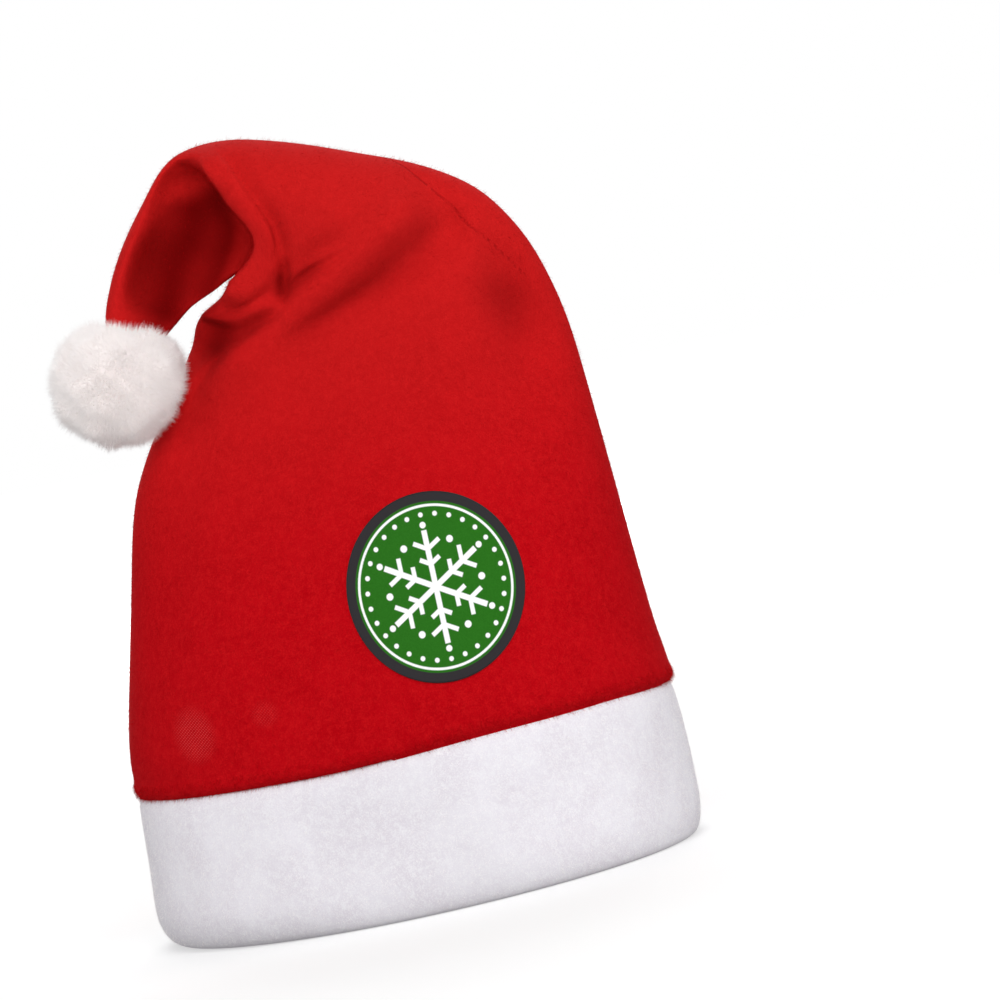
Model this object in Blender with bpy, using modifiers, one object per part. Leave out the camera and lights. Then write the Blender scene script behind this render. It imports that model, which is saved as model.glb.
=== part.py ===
"""A Santa hat in red felt, standing on its white cuff with its tip folded over to one side.

Metres, +Z up. The head opening faces down and its rim stands on z = 0, the decorated front
faces -Y, and the tip falls over towards -X. The origin is the middle of the oval that the
cuff stands on.
"""

import math
from collections import namedtuple

import bmesh
import bpy
from mathutils import Vector

# Driving sizes of the hat
CUFF_HALF_WIDTH = 0.0962
CUFF_HALF_DEPTH = 0.0858
CUFF_HEIGHT = 0.0530
CUFF_WALL = 0.0032
CROWN_WALL = 0.0018
FIT_GAP = 0.0004
HEM_GAP = 0.0006
HEM_TUCK = 0.0085
POMPOM_RADIUS = 0.0228
BADGE_HALF_WIDTH = 0.0292
BADGE_HALF_HEIGHT = 0.0310
BADGE_THICKNESS = 0.0005

# The cuff tapers a little towards its seam and leans that much to the right
CUFF_TAPER = 0.0021
CUFF_TAPER_DEEP = 0.0012
CUFF_LEAN = 0.0015
CUFF_MIDDLE = 0.55 * CUFF_HEIGHT
SEAM_ROUNDING = 0.0014
SEAM_SHOULDER = 0.0035
# Its lower edge is a soft roll: how far it turns in, more on the left, and how high it starts
ROLL_IN = 0.0045
ROLL_IN_LEFT = 0.0050
ROLL_HEIGHT = 0.0150
ROLL_STEPS = 4
# The roll's inner side, as shares of its height and of how far it turns in
INNER_ROLL_HEIGHT = 0.35
INNER_ROLL_SHARE = 0.45
RIM_SHARE = 0.85

# Points round each section of the crown: the front half is finer, because its folds are
FRONT_POINTS = 24
BACK_POINTS = 14
CUFF_POINTS = 48

# Each section of the crown is an oval in an upright plane through Y. It runs from its inner
# end, on the side that the tip falls to, to its outer end, which passes over the shoulder and
# the top. "depth" is half its thickness, "forward" moves it to the front, "skew" moves the
# front's highest line from the middle towards the outer end, and "rings" is the number of
# steps to the next row.
Section = namedtuple(
    "Section", "name inner_x inner_z outer_x outer_z depth forward skew rings"
)

HEM_LOW = CUFF_HEIGHT - HEM_TUCK
HEM_TOP = CUFF_HEIGHT + FIT_GAP / 2
HEM_HALF_WIDTH = CUFF_HALF_WIDTH - CUFF_TAPER - CUFF_WALL - HEM_GAP
HEM_DEPTH = CUFF_HALF_DEPTH - CUFF_TAPER_DEEP - CUFF_WALL - HEM_GAP
HEM_LEFT = CUFF_LEAN - HEM_HALF_WIDTH
HEM_RIGHT = CUFF_LEAN + HEM_HALF_WIDTH

CROWN_SECTIONS = (
    Section("hem_edge", HEM_LEFT, HEM_LOW, HEM_RIGHT, HEM_LOW, HEM_DEPTH, 0, 0, 1),
    Section("hem_top", HEM_LEFT, HEM_TOP, HEM_RIGHT, HEM_TOP, HEM_DEPTH, 0, 0, 1),
    Section("puff_lip", -0.0915, 0.0547, 0.0952, 0.0547, 0.0843, 0, 0, 1),
    Section("puff", -0.0926, 0.0585, 0.0963, 0.0585, 0.0852, 0, 0, 1),
    Section("brow", -0.0917, 0.0710, 0.0940, 0.0710, 0.0828, 0, 0, 1),
    Section("badge_low", -0.0857, 0.0950, 0.0926, 0.0960, 0.0755, 0, 0, 2),
    Section("badge_high", -0.0783, 0.1250, 0.0909, 0.1280, 0.0630, 0, 0, 2),
    Section("chest", -0.0712, 0.1520, 0.0892, 0.1580, 0.0515, 0, 0, 2),
    Section("neck", -0.0592, 0.1727, 0.0874, 0.1810, 0.0440, 0, 0, 2),
    Section("shoulder_low", -0.0446, 0.1930, 0.0833, 0.2000, 0.0395, 0, 0, 3),
    Section("shoulder", -0.0343, 0.2067, 0.0770, 0.2160, 0.0370, 0, 0, 3),
    Section("fold_start", -0.0305, 0.2110, 0.0660, 0.2315, 0.0360, 0, 0, 3),
    Section("fold_low", -0.0258, 0.2150, 0.0490, 0.2430, 0.0350, 0, 0, 3),
    Section("fold_turn", -0.0225, 0.2180, 0.0290, 0.2515, 0.0330, 0, 0, 4),
    Section("fold_rise", -0.0215, 0.2195, 0.0070, 0.2600, 0.0310, 0, 0.1, 4),
    Section("fold_crest", -0.0218, 0.2200, -0.0150, 0.2655, 0.0285, 0, 0.3, 4),
    Section("fold_over", -0.0232, 0.2197, -0.0336, 0.2630, 0.0255, 0, 0.6, 3),
    Section("tail_top", -0.0270, 0.2178, -0.0458, 0.2505, 0.0220, 0.0010, 0.8, 3),
    Section("tail", -0.0330, 0.2142, -0.0560, 0.2372, 0.0180, 0.0040, 0.8, 2),
    Section("tail_low", -0.0402, 0.2095, -0.0625, 0.2255, 0.0145, 0.0080, 0.6, 2),
    Section("tail_end", -0.0483, 0.2040, -0.0666, 0.2145, 0.0112, 0.0120, 0.3, 1),
    Section("tip", -0.0545, 0.1985, -0.0675, 0.2060, 0.0078, 0.0145, 0, 1),
)

# The rounded end of the tip, which is hidden in the pompom
TIP_ROUNDING = 0.0028
TIP_LOOP_OUT = 0.8
TIP_LOOP_SHARE = 0.55

# Soft folds of the felt, each a curve from start past bend to end, seen from the front.
# "rise" lifts the cloth out of the hat or, where it is negative, presses it in.
Fold = namedtuple("Fold", "name start_x start_z bend_x bend_z end_x end_z rise width")

FRONT_FOLDS = (
    Fold("mouth_roll", -0.020, 0.258, 0.002, 0.232, -0.020, 0.214, 0.0034, 0.0055),
    Fold("mouth_crease", -0.013, 0.255, 0.001, 0.230, -0.008, 0.209, -0.0022, 0.0042),
    Fold("top_lobe", 0.000, 0.248, 0.010, 0.238, 0.022, 0.228, 0.0028, 0.0120),
    Fold("short_valley", -0.005, 0.208, 0.004, 0.216, 0.019, 0.222, -0.0042, 0.0050),
    Fold("long_ridge", -0.038, 0.189, 0.008, 0.209, 0.043, 0.230, 0.0042, 0.0070),
    Fold("long_valley", -0.014, 0.193, 0.028, 0.206, 0.052, 0.219, -0.0055, 0.0080),
    Fold("valley_hook", 0.050, 0.216, 0.060, 0.223, 0.048, 0.234, -0.0045, 0.0060),
    Fold("side_dent", 0.069, 0.208, 0.075, 0.186, 0.066, 0.156, -0.0070, 0.0130),
    Fold("left_notch", -0.040, 0.192, -0.034, 0.201, -0.022, 0.206, -0.0050, 0.0055),
    Fold("tail_valley", -0.028, 0.252, -0.038, 0.240, -0.047, 0.223, -0.0040, 0.0080),
    Fold("left_seam_fold", -0.041, 0.182, -0.059, 0.145, -0.070, 0.100, -0.0020, 0.0070),
)
BACK_FOLDS = (
    Fold("back_crease", -0.018, 0.262, 0.004, 0.240, 0.000, 0.216, -0.0045, 0.0095),
    Fold("back_ridge", 0.006, 0.256, 0.026, 0.232, 0.020, 0.205, 0.0030, 0.0090),
    Fold("back_valley", 0.000, 0.205, 0.040, 0.214, 0.066, 0.190, -0.0050, 0.0100),
    Fold("back_drape", -0.030, 0.190, 0.010, 0.176, 0.050, 0.140, -0.0030, 0.0150),
)
FOLD_SAMPLES = 14
# How soon the folds and the mouth reach their full depth, going in from the outline
LIFT_EASE = 1.6
MOUTH_EASE = 1.25

# The mouth is where the tip comes out from behind the body: left of this curve the front of
# the felt lies back by MOUTH_SHARE of its depth, over MOUTH_WALL, and returns over MOUTH_REACH.
MOUTH = Fold("mouth", -0.0300, 0.274, 0.0015, 0.229, -0.023, 0.217, 0, 0)
MOUTH_SHARE = 0.80
MOUTH_WALL = 0.0082
MOUTH_REACH = 0.0360
MOUTH_OPENS = "fold_start"
MOUTH_FULL = "fold_rise"

# The pompom's pile: locks set into a round core, as a spiral of even steps over the ball
POMPOM_CENTRE = Vector((-0.0663, -0.0165, 0.1920))
POMPOM_WIDER = 1.05
CORE_SHARE = 0.93
LOCKS = 40
LOCK_SIDES = 5
LOCK_LEAN = 0.30
LOCK_SWING = 2.4
# One lock in section, from its root in the core to its end: shares of the pompom's radius
LockRing = namedtuple("LockRing", "out radius")
LOCK_RINGS = (
    LockRing(0.80, 0.230),
    LockRing(0.95, 0.260),
    LockRing(1.02, 0.180),
    LockRing(1.06, 0.070),
)

# The badge is a grid of rings and spokes that starts in front of the hat and is pressed on
BADGE_CENTRE = Vector((0.0240, -0.1100, 0.1046))
BADGE_RINGS = 4
BADGE_SPOKES = 24


def clear_scene():
    for old in list(bpy.data.objects):
        bpy.data.objects.remove(old)


def new_collection(name):
    collection = bpy.data.collections.new(name)
    bpy.context.scene.collection.children.link(collection)
    return collection


def new_material(name, colour, roughness):
    material = bpy.data.materials.new(name)
    material.use_nodes = True
    shader = material.node_tree.nodes["Principled BSDF"]
    shader.inputs["Base Color"].default_value = (*colour, 1.0)
    shader.inputs["Roughness"].default_value = roughness
    shader.inputs["Metallic"].default_value = 0.0
    return material


def new_object(name, mesh, collection, material=None):
    obj = bpy.data.objects.new(name, mesh)
    collection.objects.link(obj)
    if material:
        mesh.materials.append(material)
        mesh.shade_smooth()
    return obj


def new_cutter(name, mesh, collection):
    cutter = new_object(name, mesh, collection)
    cutter.hide_render = True
    cutter.display_type = "WIRE"
    return cutter


def smooth_step(value):
    value = min(1.0, max(0.0, value))
    return value * value * (3 - 2 * value)


def blend_rows(before, start, end, after, share):
    """A row between start and end, on a smooth curve through all four rows."""
    mixed = []
    for a, b, c, d in zip(before, start, end, after):
        slope_in = (c - a) / 2
        slope_out = (d - b) / 2
        mixed.append(
            b
            + slope_in * share
            + (3 * (c - b) - 2 * slope_in - slope_out) * share**2
            + (2 * (b - c) + slope_in + slope_out) * share**3
        )
    return mixed


def row_number(name):
    return [row.name for row in CROWN_SECTIONS].index(name)


def crown_rows(first=0):
    """The crown's sections from that row on, with the steps between them filled in."""
    opens, full = row_number(MOUTH_OPENS), row_number(MOUTH_FULL)
    last = len(CROWN_SECTIONS) - 1
    for i in range(first, last + 1):
        start = CROWN_SECTIONS[i]
        steps = start.rings if i < last else 1
        before = CROWN_SECTIONS[max(i - 1, 0)]
        end = CROWN_SECTIONS[min(i + 1, last)]
        after = CROWN_SECTIONS[min(i + 2, last)]
        for step in range(steps):
            share = step / steps
            row = blend_rows(before[1:8], start[1:8], end[1:8], after[1:8], share)
            mouth = smooth_step((i + share - opens) / (full - opens))
            yield Section("ring", *row, 1), mouth


def curve_points(fold):
    start = Vector((fold.start_x, fold.start_z))
    bend = Vector((fold.bend_x, fold.bend_z))
    end = Vector((fold.end_x, fold.end_z))
    points = []
    for i in range(FOLD_SAMPLES + 1):
        t = i / FOLD_SAMPLES
        points.append(start * (1 - t) ** 2 + bend * 2 * t * (1 - t) + end * t**2)
    return points


def nearest_on(points, spot):
    """Distance from spot to the curve, and which side of it the spot is on."""
    best, side = math.inf, 1.0
    for a, b in zip(points, points[1:]):
        along = b - a
        share = min(1.0, max(0.0, (spot - a).dot(along) / along.length_squared))
        gap = spot - (a + along * share)
        if gap.length < best:
            best = gap.length
            side = 1.0 if along.x * gap.y - along.y * gap.x < 0 else -1.0
    return best, side


FRONT_CURVES = [(fold, curve_points(fold)) for fold in FRONT_FOLDS]
BACK_CURVES = [(fold, curve_points(fold)) for fold in BACK_FOLDS]
MOUTH_CURVE = curve_points(MOUTH)


def fold_rise(spot, curves):
    total = 0.0
    for fold, points in curves:
        distance, _ = nearest_on(points, spot)
        total += fold.rise * math.exp(-((distance / fold.width) ** 2))
    return total


def mouth_share(spot):
    """The share of its depth by which the front lies back here, inside the fold's mouth."""
    distance, side = nearest_on(MOUTH_CURVE, spot)
    if side < 0:
        return 0.0
    wall = smooth_step(distance / MOUTH_WALL)
    fade = 1 - smooth_step((distance - MOUTH_WALL) / MOUTH_REACH)
    return MOUTH_SHARE * wall * fade


def ring_points(row, mouth, grow):
    """One section of the crown as a loop of points, from the inner end round the front."""
    inner = Vector((row.inner_x, 0, row.inner_z))
    outer = Vector((row.outer_x, 0, row.outer_z))
    middle = (inner + outer) / 2 + Vector((0, -row.forward, 0))
    half = (outer - inner) / 2
    half *= 1 + grow / half.length
    points = []
    for i in range(FRONT_POINTS + BACK_POINTS):
        if i < FRONT_POINTS:
            turn = math.pi * i / FRONT_POINTS
        else:
            turn = math.pi * (1 + (i - FRONT_POINTS) / BACK_POINTS)
        point = middle - half * math.cos(turn)
        spot = Vector((point.x, point.z))
        swell = math.sin(turn)
        ease = smooth_step(abs(swell) * LIFT_EASE)
        if i < FRONT_POINTS:
            fullness = math.sin(turn - row.skew * swell)
            open_here = mouth * smooth_step(swell * MOUTH_EASE)
            reach = row.depth * fullness * (1 - mouth_share(spot) * open_here)
            point.y -= reach + fold_rise(spot, FRONT_CURVES) * ease + grow * swell
        else:
            point.y -= row.depth * swell - fold_rise(spot, BACK_CURVES) * ease + grow * swell
        points.append(point)
    return points


def bridge(mesh, lower, upper):
    """A band of four-sided faces between two loops, facing out of the hat."""
    count = len(lower)
    for i in range(count):
        j = (i + 1) % count
        mesh.faces.new((lower[i], lower[j], upper[j], upper[i]))


def crown_surface(grow=0.0, first=0, close_start=False):
    """The crown's outer surface, open at its hem and closed at its tip."""
    mesh = bmesh.new()
    loops = []
    for row, mouth in crown_rows(first):
        loops.append([mesh.verts.new(p) for p in ring_points(row, mouth, grow)])
    for lower, upper in zip(loops, loops[1:]):
        bridge(mesh, lower, upper)
    close_tip(mesh, loops[-1], loops[-1][0].co - loops[-2][0].co, grow)
    if close_start:
        mesh.faces.new(reversed(loops[0]))
    bmesh.ops.recalc_face_normals(mesh, faces=mesh.faces)
    data = bpy.data.meshes.new("crown_surface")
    mesh.to_mesh(data)
    mesh.free()
    return data


def close_tip(mesh, loop, onward, grow):
    """Rounds off the tip: a smaller loop a little further on, and a point in its middle."""
    middle = sum((v.co for v in loop), Vector()) / len(loop)
    onward = onward.normalized() * (TIP_ROUNDING + grow)
    smaller = [
        mesh.verts.new(middle + onward * TIP_LOOP_OUT + (v.co - middle) * TIP_LOOP_SHARE)
        for v in loop
    ]
    bridge(mesh, loop, smaller)
    centre = mesh.verts.new(middle + onward)
    for i, vertex in enumerate(smaller):
        mesh.faces.new((vertex, smaller[(i + 1) % len(smaller)], centre))


def build_crown(collection, material):
    crown = new_object("crown", crown_surface(), collection, material)
    wall = crown.modifiers.new("felt_wall", "SOLIDIFY")
    wall.thickness = CROWN_WALL
    wall.offset = -1
    return crown


def cuff_profile(roll):
    """The cuff's wall in section, as (offset from the outer oval, height), all the way round."""
    outer = []
    for i in range(ROLL_STEPS + 1):
        turn = math.pi / 2 * i / ROLL_STEPS
        outer.append((-roll * (1 - math.sin(turn)), ROLL_HEIGHT * (1 - math.cos(turn))))
    outer.append((0.0, CUFF_MIDDLE))
    outer.append((0.0, CUFF_HEIGHT - SEAM_SHOULDER))
    outer.append((-SEAM_ROUNDING, CUFF_HEIGHT))
    inner = [(-CUFF_WALL, CUFF_HEIGHT), (-CUFF_WALL, CUFF_MIDDLE), (-CUFF_WALL, ROLL_HEIGHT)]
    inner.append((-roll * INNER_ROLL_SHARE - CUFF_WALL, ROLL_HEIGHT * INNER_ROLL_HEIGHT))
    inner.append((-roll - CUFF_WALL * RIM_SHARE, 0.0))
    return outer + inner


def build_cuff(collection, material):
    mesh = bmesh.new()
    columns = []
    for i in range(CUFF_POINTS):
        turn = 2 * math.pi * i / CUFF_POINTS
        across, deep = math.cos(turn), math.sin(turn)
        left = smooth_step(-across)
        roll = ROLL_IN + ROLL_IN_LEFT * left
        column = []
        for offset, height in cuff_profile(roll):
            up = height / CUFF_HEIGHT
            half_width = CUFF_HALF_WIDTH - CUFF_TAPER * up + offset
            half_depth = CUFF_HALF_DEPTH - CUFF_TAPER_DEEP * up + offset
            x = CUFF_LEAN * up + half_width * across
            column.append(mesh.verts.new((x, half_depth * deep, height)))
        columns.append(column)
    for i, column in enumerate(columns):
        bridge(mesh, column, columns[(i + 1) % CUFF_POINTS])
    bmesh.ops.recalc_face_normals(mesh, faces=mesh.faces)
    data = bpy.data.meshes.new("cuff")
    mesh.to_mesh(data)
    mesh.free()
    return new_object("cuff", data, collection, material)


def lock_directions():
    """Directions spread evenly over a ball."""
    golden = math.pi * (3 - math.sqrt(5))
    for i in range(LOCKS):
        height = 1 - 2 * (i + 0.5) / LOCKS
        radius = math.sqrt(1 - height * height)
        yield Vector((radius * math.cos(golden * i), radius * math.sin(golden * i), height))


def add_lock(mesh, way, number):
    """One tapered lock of pile along that way, leaning a little to one side."""
    across = way.orthogonal().normalized()
    up = way.cross(across)
    swing = LOCK_SWING * number
    lean = (across * math.cos(swing) + up * math.sin(swing)) * LOCK_LEAN
    loops = []
    for ring in LOCK_RINGS:
        middle = (way + lean * (ring.out - LOCK_RINGS[0].out)) * ring.out
        loop = []
        for side in range(LOCK_SIDES):
            turn = 2 * math.pi * side / LOCK_SIDES
            spread = (across * math.cos(turn) + up * math.sin(turn)) * ring.radius
            loop.append(mesh.verts.new((middle + spread) * POMPOM_RADIUS))
        loops.append(loop)
    for lower, upper in zip(loops, loops[1:]):
        bridge(mesh, lower, upper)
    mesh.faces.new(reversed(loops[0]))
    mesh.faces.new(loops[-1])


def build_pompom(collection, cutters, material):
    """A ball of pile: locks fused to a round core, and the hat's tip set into it."""
    core_mesh = bmesh.new()
    bmesh.ops.create_icosphere(core_mesh, subdivisions=2, radius=POMPOM_RADIUS * CORE_SHARE)
    core_data = bpy.data.meshes.new("pompom")
    core_mesh.to_mesh(core_data)
    core_mesh.free()
    pompom = new_object("pompom", core_data, collection, material)
    pompom.location = POMPOM_CENTRE
    pompom.scale = (POMPOM_WIDER, 1, 1)
    lock_mesh = bmesh.new()
    for number, way in enumerate(lock_directions()):
        add_lock(lock_mesh, way, number)
    bmesh.ops.recalc_face_normals(lock_mesh, faces=lock_mesh.faces)
    lock_data = bpy.data.meshes.new("pompom_locks")
    lock_mesh.to_mesh(lock_data)
    lock_mesh.free()
    locks = new_cutter("pompom_locks", lock_data, cutters)
    locks.location = POMPOM_CENTRE
    locks.scale = pompom.scale
    fuse = pompom.modifiers.new("locks", "BOOLEAN")
    fuse.operation = "UNION"
    fuse.solver = "EXACT"
    fuse.use_self = True
    fuse.object = locks
    room = crown_surface(FIT_GAP, row_number("brow"), close_start=True)
    cut = pompom.modifiers.new("room_for_the_felt", "BOOLEAN")
    cut.operation = "DIFFERENCE"
    cut.solver = "EXACT"
    cut.object = new_cutter("pompom_room", room, cutters)
    return pompom


def build_badge(collection, crown, material):
    """A printed film that lies on the felt: a flat disc, pressed onto the crown."""
    mesh = bmesh.new()
    centre = mesh.verts.new((0, 0, 0))
    loops = []
    for ring in range(1, BADGE_RINGS + 1):
        share = ring / BADGE_RINGS
        loop = []
        for i in range(BADGE_SPOKES):
            turn = 2 * math.pi * i / BADGE_SPOKES
            x = BADGE_HALF_WIDTH * share * math.cos(turn)
            z = BADGE_HALF_HEIGHT * share * math.sin(turn)
            loop.append(mesh.verts.new((x, 0, z)))
        loops.append(loop)
    for i, vertex in enumerate(loops[0]):
        mesh.faces.new((centre, vertex, loops[0][(i + 1) % BADGE_SPOKES]))
    for lower, upper in zip(loops, loops[1:]):
        bridge(mesh, upper, lower)
    for face in mesh.faces:
        face.normal_update()
        if face.normal.y > 0:
            face.normal_flip()
    data = bpy.data.meshes.new("front_badge")
    mesh.to_mesh(data)
    mesh.free()
    badge = new_object("front_badge", data, collection, material)
    badge.location = BADGE_CENTRE
    press = badge.modifiers.new("pressed_on", "SHRINKWRAP")
    press.target = crown
    press.wrap_method = "PROJECT"
    press.wrap_mode = "ABOVE_SURFACE"
    press.use_project_y = True
    press.use_negative_direction = False
    press.use_positive_direction = True
    press.offset = FIT_GAP
    film = badge.modifiers.new("film", "SOLIDIFY")
    film.thickness = BADGE_THICKNESS
    film.offset = 1
    return badge


def main():
    clear_scene()
    hat = new_collection("santa_hat")
    cutters = new_collection("cutters")
    red_felt = new_material("red_felt", (0.60, 0.008, 0.010), 0.95)
    white_felt = new_material("white_felt", (0.86, 0.85, 0.88), 0.95)
    white_pile = new_material("white_pile", (0.90, 0.89, 0.89), 1.0)
    print_film = new_material("print_film", (0.02, 0.20, 0.015), 0.6)
    crown = build_crown(hat, red_felt)
    build_cuff(hat, white_felt)
    build_pompom(hat, cutters, white_pile)
    build_badge(hat, crown, print_film)


main()
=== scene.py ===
# %% [markdown]
# A Christmas hat of red felt, standing on its white cuff with the tip folded over to the
# left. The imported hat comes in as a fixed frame: plain solids of the right size in the
# right place. Every step below dresses one of them, so the first thing to do is to load
# them and to remember how large the whole hat is.

import math

import bpy
import numpy as np
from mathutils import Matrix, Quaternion, Vector
from mathutils.bvhtree import BVHTree
from mathutils.kdtree import KDTree


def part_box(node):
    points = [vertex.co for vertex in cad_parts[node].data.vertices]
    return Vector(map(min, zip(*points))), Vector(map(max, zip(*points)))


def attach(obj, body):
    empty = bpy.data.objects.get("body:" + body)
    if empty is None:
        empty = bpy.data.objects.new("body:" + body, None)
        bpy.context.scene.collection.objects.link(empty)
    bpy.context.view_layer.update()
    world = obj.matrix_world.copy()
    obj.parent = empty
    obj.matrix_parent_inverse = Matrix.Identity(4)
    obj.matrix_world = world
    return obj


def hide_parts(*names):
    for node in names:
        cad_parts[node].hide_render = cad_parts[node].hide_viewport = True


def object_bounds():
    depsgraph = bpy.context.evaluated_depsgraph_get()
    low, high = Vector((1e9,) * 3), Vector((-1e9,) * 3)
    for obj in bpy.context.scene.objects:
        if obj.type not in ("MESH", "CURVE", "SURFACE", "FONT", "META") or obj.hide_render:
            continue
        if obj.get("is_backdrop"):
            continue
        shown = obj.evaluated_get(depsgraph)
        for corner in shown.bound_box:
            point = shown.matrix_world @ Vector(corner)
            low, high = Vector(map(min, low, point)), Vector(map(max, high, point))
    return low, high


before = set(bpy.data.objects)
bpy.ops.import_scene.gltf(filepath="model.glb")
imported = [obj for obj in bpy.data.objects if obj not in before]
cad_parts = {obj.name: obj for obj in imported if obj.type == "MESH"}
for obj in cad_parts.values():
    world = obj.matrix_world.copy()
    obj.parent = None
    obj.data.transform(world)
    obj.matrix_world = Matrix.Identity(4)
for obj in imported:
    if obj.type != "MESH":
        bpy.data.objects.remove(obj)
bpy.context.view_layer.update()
MM = 0.001

# %% [markdown]
# The hat stands upright and the camera is rolled instead, so the rim runs uphill to the
# right in the picture. A long lens from about two metres keeps the near and the far side
# of the rim at almost one scale. The camera looks down by only a few degrees, which shows
# as the slight smile of the seam between cuff and crown.

# %% The camera
AIM = Vector((0.0510, 0.0, 0.1251))
CAMERA_DISTANCE = 1.9
CAMERA_RISE = math.radians(2.5)
CAMERA_ROLL = math.radians(12.5)
LENS = 200

bpy.ops.object.camera_add()
camera = bpy.context.object
camera.name = "camera"
camera.data.lens = LENS
camera.data.clip_end = 50
back = Vector((0, -math.cos(CAMERA_RISE), math.sin(CAMERA_RISE)))
camera.location = AIM + back * CAMERA_DISTANCE
camera.rotation_mode = "QUATERNION"
camera.rotation_quaternion = (-back).to_track_quat("-Z", "Y") @ Quaternion((0, 0, 1), -CAMERA_ROLL)
bpy.context.scene.camera = camera
print("camera at", [round(c, 3) for c in camera.location])

# %% [markdown]
# Materials come first in the making, because every piece is finished as soon as it is
# modelled. Shader maths is easier to read as Python sums than as a picture of nodes, so a
# small class wraps a socket: an expression such as `1 - mask * 0.5` adds the Math nodes.
# Colours go through Mix nodes instead, which have a method of their own.

# %% Shader sums as Python expressions
class Value:
    """One output socket. Sums with it add Math nodes to its tree."""

    def __init__(self, tree, socket):
        self.tree, self.socket = tree, socket

    def math(self, operation, *others):
        return self.tree.add("ShaderNodeMath", {"operation": operation}, [self, *others])

    def __add__(self, other):
        return self.math("ADD", other)

    def __sub__(self, other):
        return self.math("SUBTRACT", other)

    def __mul__(self, other):
        return self.math("MULTIPLY", other)

    def __truediv__(self, other):
        return self.math("DIVIDE", other)

    def __abs__(self):
        return self.math("ABSOLUTE")

    def __rsub__(self, other):
        return self.tree.add("ShaderNodeMath", {"operation": "SUBTRACT"}, [other, self])

    __radd__, __rmul__ = __add__, __mul__

    def within(self, low, high):
        """0 below low, 1 above high, and smooth between them."""
        settings = {"interpolation_type": "SMOOTHSTEP"}
        return self.tree.add("ShaderNodeMapRange", settings, [self, low, high, 0.0, 1.0])

    def below(self, limit, soft):
        """1 under the limit and 0 over it, with a soft edge."""
        return 1 - self.within(limit - soft, limit + soft)

    def higher(self, other):
        return self.math("MAXIMUM", other)


class Tree:
    """A material's nodes, added one at a time."""

    def __init__(self, name, roughness, **constants):
        self.material = bpy.data.materials.new(name)
        self.material.use_nodes = True
        self.nodes = self.material.node_tree.nodes
        self.links = self.material.node_tree.links
        self.shader = self.nodes["Principled BSDF"]
        self.put(self.shader.inputs["Roughness"], roughness)
        for socket, value in constants.items():
            self.put(self.shader.inputs[socket.replace("_", " ")], value)

    def put(self, socket, value):
        if isinstance(value, Value):
            self.links.new(value.socket, socket)
        else:
            socket.default_value = value

    def add(self, kind, settings=None, values=(), out=0):
        """Adds any node: its settings first, then its sockets by order or by name."""
        node = self.nodes.new(kind)
        for key, value in (settings or {}).items():
            setattr(node, key, value)
        pairs = values.items() if isinstance(values, dict) else enumerate(values)
        for key, value in pairs:
            self.put(node.inputs[key], value)
        return Value(self, node.outputs[out])

    def place(self):
        return self.add("ShaderNodeTexCoord", out="Object")

    def split(self, vector):
        """The three parts of a vector."""
        node = self.add("ShaderNodeSeparateXYZ", {}, [vector]).socket.node
        return [Value(self, node.outputs[i]) for i in range(3)]

    def kept(self, attribute):
        """A number that the mesh keeps at each of its points."""
        return self.add("ShaderNodeAttribute", {"attribute_name": attribute}, out="Fac")

    def noise(self, place, size, detail=2.0, roughness=0.5):
        """Soft noise whose lumps are about that size in metres."""
        values = {"Vector": place, "Scale": 1 / size, "Detail": detail, "Roughness": roughness}
        return self.add("ShaderNodeTexNoise", {}, values)

    def mix(self, share, first, second):
        """A colour that goes from first to second."""
        values = {0: share, 6: first, 7: second}
        return self.add("ShaderNodeMix", {"data_type": "RGBA"}, values, out=2)

    def colour(self, value):
        self.put(self.shader.inputs["Base Color"], value)

    def glow(self, strength, value):
        """Light that a surface gives off: a lit backdrop, or light lost inside white pile."""
        self.put(self.shader.inputs["Emission Strength"], strength)
        self.put(self.shader.inputs["Emission Color"], value)

    def bump(self, height, distance, strength=1.0):
        values = {"Height": height, "Distance": distance, "Strength": strength}
        normal = self.add("ShaderNodeBump", {}, values)
        self.put(self.shader.inputs["Normal"], normal)


def rgb(red, green, blue):
    """A colour as it reads on a screen, from 0 to 255, as the shader wants it."""
    shares = [c / 255 for c in (red, green, blue)]
    return (*[s / 12.92 if s <= 0.04045 else ((s + 0.055) / 1.055) ** 2.4 for s in shares], 1.0)


# %% [markdown]
# The hat is brushed felt: a thin cloth whose face has been scratched up into a short nap.
# Close to, the nap stands in patches that lean different ways, so the red is never even.
# Three sizes of noise give that: soft clouds of a centimetre or two where hands have
# stroked it, small flecks where fibres bunch, and a grain as fine as the fibres. A seam is
# read from the mesh, which keeps each point's distance to it, so it stays a thin line.

# %% The felt
NAP_CLOUD = 15 * MM
NAP_FLECK = 2.4 * MM
NAP_GRAIN = 0.6 * MM
SEAM_HALF = 0.45 * MM
SEAM_PULL = 3.0 * MM


def felt(name, deep, plain, bright, sheen):
    """Felt of three shades of one colour. Returns its tree, colour and height."""
    tree = Tree(name, 0.95, Sheen_Weight=sheen, Sheen_Roughness=0.5, Specular_IOR_Level=0.04)
    place = tree.place()
    cloud = tree.noise(place, NAP_CLOUD, 3.0)
    fleck = tree.noise(place, NAP_FLECK, 3.0, 0.6)
    grain = tree.noise(place, NAP_GRAIN, 2.0, 0.7)
    nap = fleck * 0.45 + grain * 0.55
    base = tree.mix(cloud.within(0.3, 0.7), deep, plain)
    colour = tree.mix(nap.within(0.36, 0.74), base, bright)
    return tree, colour, nap


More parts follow.
